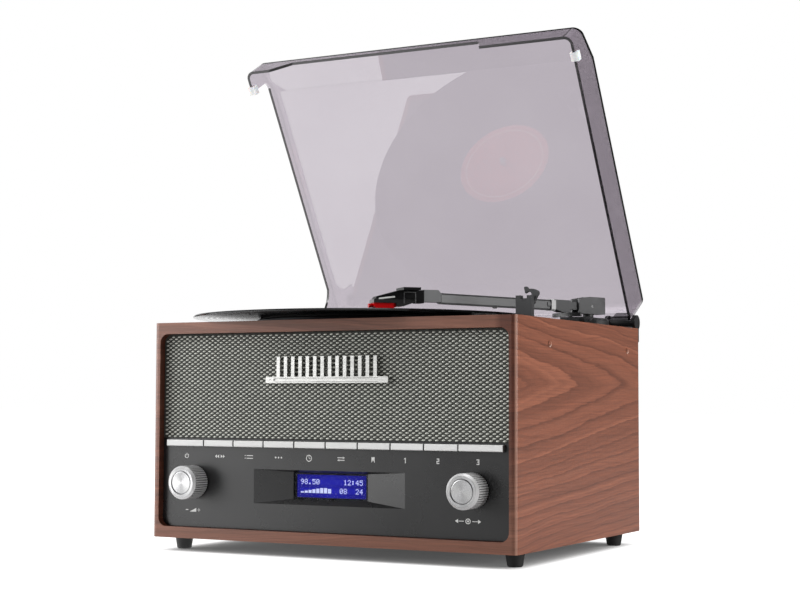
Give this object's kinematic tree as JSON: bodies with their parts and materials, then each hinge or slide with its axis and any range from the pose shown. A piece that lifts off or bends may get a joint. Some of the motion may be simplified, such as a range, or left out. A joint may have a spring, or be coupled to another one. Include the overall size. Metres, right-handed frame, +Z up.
{
  "type": "record player",
  "caption": "Wooden tabletop record player with a radio: open smoked lid, belt-driven platter with a record, tonearm, woven grille, push keys, display and knobs.",
  "frame": {"origin": "centre of the cabinet footprint on the surface that the feet stand on", "axes": "+X to the right as seen from the front, +Y to the back, +Z up"},
  "size_m": [0.3467, 0.3426, 0.4485],
  "materials": {
    "walnut": "satin veneer, grain front to back on the sides",
    "black_board": "black-faced fibreboard",
    "foot_rubber": "matte",
    "deck_black": "fine-textured moulding",
    "panel_black": "satin moulding",
    "grille_fabric": "dark woven cloth with silver threads",
    "badge_chrome": "polished",
    "speaker_frame": "black",
    "speaker_paper": "paper cone with a cloth surround",
    "window_clear": "clear acrylic",
    "lcd_blue": "dark metal frame round a blue lit display",
    "circuit_board": "solder mask",
    "encoder_metal": "pressed steel",
    "knob_aluminium": "spun face, fluted side",
    "key_silver": "silver-painted",
    "socket_metal": "nickel-plated",
    "steel": "bright",
    "platter_metal": "cast",
    "mat_rubber": "matte",
    "vinyl": "grooved black, plain reddish label",
    "motor_can": "zinc-plated",
    "pulley_brass": "turned",
    "belt_rubber": "matte",
    "arm_grey": "dark grey satin",
    "head_black": "satin",
    "stylus_red": "translucent red",
    "lid_smoke": "smoked clear acrylic",
    "bumper_clear": "translucent white",
    "hinge_black": "satin"
  },
  "bodies": {
    "cabinet": {"front_frame": "walnut", "left_side_panel": "walnut", "right_side_panel": "walnut", "bottom_panel": "black_board", "rear_panel": "black_board", "feet": "foot_rubber", "deck_plate": "deck_black", "speaker_baffle": "black_board", "grille_cloth": "grille_fabric", "badge": "badge_chrome", "left_speaker": "speaker_frame", "right_speaker": "speaker_frame", "speaker_cones": "speaker_paper", "control_panel": "panel_black", "display_window": "window_clear", "lcd_module": "lcd_blue", "front_board": "circuit_board", "volume_encoder": "encoder_metal", "tune_encoder": "encoder_metal", "main_board": "circuit_board", "rear_sockets": "socket_metal", "platter_spindle": "steel", "drive_motor": "motor_can", "drive_belt": "belt_rubber", "tonearm_base": "deck_black", "arm_rest": "arm_grey", "hinge_bases": "hinge_black"},
    "volume_control": {"volume_knob": "knob_aluminium", "volume_shaft": "steel"},
    "tune_detent_rotor": {"tune_rotor": "panel_black"},
    "tune_control": {"tune_knob": "knob_aluminium", "tune_shaft": "steel"},
    "turntable": {"platter": "platter_metal", "slipmat": "mat_rubber", "vinyl_record": "vinyl"},
    "pulley": {"motor_pulley": "pulley_brass"},
    "arm_swivel": {"tonearm_swivel": "arm_grey", "lift_pin": "steel"},
    "tonearm": {"tonearm_tube": "arm_grey", "arm_tail": "steel", "headshell": "head_black", "cartridge": "head_black", "stylus": "stylus_red"},
    "rest_clip": {"arm_clip": "head_black"},
    "cue_control": {"cue_lever": "head_black"},
    "cue_lift": {"cue_lifter": "head_black"},
    "speed_switch": {"speed_selector": "head_black"},
    "dust_lid": {"lid": "lid_smoke", "lid_bumpers": "bumper_clear", "hinge_arms": "hinge_black"},
    "key_1_body": {"key_1": "key_silver"},
    "key_2_body": {"key_2": "key_silver"},
    "key_3_body": {"key_3": "key_silver"},
    "key_4_body": {"key_4": "key_silver"},
    "key_5_body": {"key_5": "key_silver"},
    "key_6_body": {"key_6": "key_silver"},
    "key_7_body": {"key_7": "key_silver"},
    "key_8_body": {"key_8": "key_silver"},
    "key_9_body": {"key_9": "key_silver"},
    "key_10_body": {"key_10": "key_silver"}
  },
  "joints": [
    {"name": "lid_hinge", "type": "hinge", "parent": "cabinet", "child": "dust_lid", "pos_m": [0, 0.1402, 0.2001], "axis": [-1, 0, 0], "range_deg": [-59.1, 0]},
    {"name": "platter_spin", "type": "hinge", "parent": "cabinet", "child": "turntable", "pos_m": [-0.025, -0.024, 0.1945], "axis": [0, 0, 1], "continuous": true},
    {"name": "pulley_spin", "type": "hinge", "parent": "cabinet", "child": "pulley", "pos_m": [-0.07754, 0.02854, 0.1945], "axis": [0, 0, 1], "continuous": true},
    {"name": "arm_swing", "type": "hinge", "parent": "cabinet", "child": "arm_swivel", "pos_m": [0.134, 0.1055, 0.2137], "axis": [0, 0, 1], "range_deg": [-11.9, 16.1]},
    {"name": "arm_lift", "type": "hinge", "parent": "arm_swivel", "child": "tonearm", "pos_m": [0.134, 0.1055, 0.2137], "axis": [-0.9336, 0.3584, 0], "range_deg": [0, 2.2]},
    {"name": "cue_lever_tilt", "type": "hinge", "parent": "cabinet", "child": "cue_control", "pos_m": [0.15, 0.07401, 0.1979], "axis": [-1, 0, 0], "range_deg": [0, 40]},
    {"name": "lifter_rise", "type": "slide", "parent": "cabinet", "child": "cue_lift", "axis": [0, 0, 1], "range_m": [0, 0.00115]},
    {"name": "rest_clip_swing", "type": "hinge", "parent": "cabinet", "child": "rest_clip", "pos_m": [0.1393, -0.03075, 0.2108], "axis": [0, -1, 0], "range_deg": [0, 15]},
    {"name": "speed_select", "type": "slide", "parent": "cabinet", "child": "speed_switch", "axis": [0, 1, 0], "range_m": [0, 0.01]},
    {"name": "volume_turn", "type": "hinge", "parent": "cabinet", "child": "volume_control", "pos_m": [-0.1312, -0.135, 0.059], "axis": [0, -1, 0], "continuous": true},
    {"name": "tune_turn", "type": "hinge", "parent": "cabinet", "child": "tune_detent_rotor", "pos_m": [0.1312, -0.135, 0.059], "axis": [0, -1, 0], "continuous": true},
    {"name": "tune_press", "type": "slide", "parent": "tune_detent_rotor", "child": "tune_control", "axis": [0, 1, 0], "range_m": [0, 0.0006], "stiffness_N_per_m": 1500},
    {"name": "key_1_press", "type": "slide", "parent": "cabinet", "child": "key_1_body", "axis": [0, 1, 0], "range_m": [0, 0.001], "stiffness_N_per_m": 600},
    {"name": "key_2_press", "type": "slide", "parent": "cabinet", "child": "key_2_body", "axis": [0, 1, 0], "range_m": [0, 0.001], "stiffness_N_per_m": 600},
    {"name": "key_3_press", "type": "slide", "parent": "cabinet", "child": "key_3_body", "axis": [0, 1, 0], "range_m": [0, 0.001], "stiffness_N_per_m": 600},
    {"name": "key_4_press", "type": "slide", "parent": "cabinet", "child": "key_4_body", "axis": [0, 1, 0], "range_m": [0, 0.001], "stiffness_N_per_m": 600},
    {"name": "key_5_press", "type": "slide", "parent": "cabinet", "child": "key_5_body", "axis": [0, 1, 0], "range_m": [0, 0.001], "stiffness_N_per_m": 600},
    {"name": "key_6_press", "type": "slide", "parent": "cabinet", "child": "key_6_body", "axis": [0, 1, 0], "range_m": [0, 0.001], "stiffness_N_per_m": 600},
    {"name": "key_7_press", "type": "slide", "parent": "cabinet", "child": "key_7_body", "axis": [0, 1, 0], "range_m": [0, 0.001], "stiffness_N_per_m": 600},
    {"name": "key_8_press", "type": "slide", "parent": "cabinet", "child": "key_8_body", "axis": [0, 1, 0], "range_m": [0, 0.001], "stiffness_N_per_m": 600},
    {"name": "key_9_press", "type": "slide", "parent": "cabinet", "child": "key_9_body", "axis": [0, 1, 0], "range_m": [0, 0.001], "stiffness_N_per_m": 600},
    {"name": "key_10_press", "type": "slide", "parent": "cabinet", "child": "key_10_body", "axis": [0, 1, 0], "range_m": [0, 0.001], "stiffness_N_per_m": 600}
  ],
  "couplings": [
    {"joint": "pulley_spin", "follows": "platter_spin", "ratio": 9.5385},
    {"joint": "cue_lever_tilt", "follows": "arm_lift", "ratio": 18.182},
    {"joint": "lifter_rise", "follows": "arm_lift", "m_per_rad": 0.02994}
  ]
}
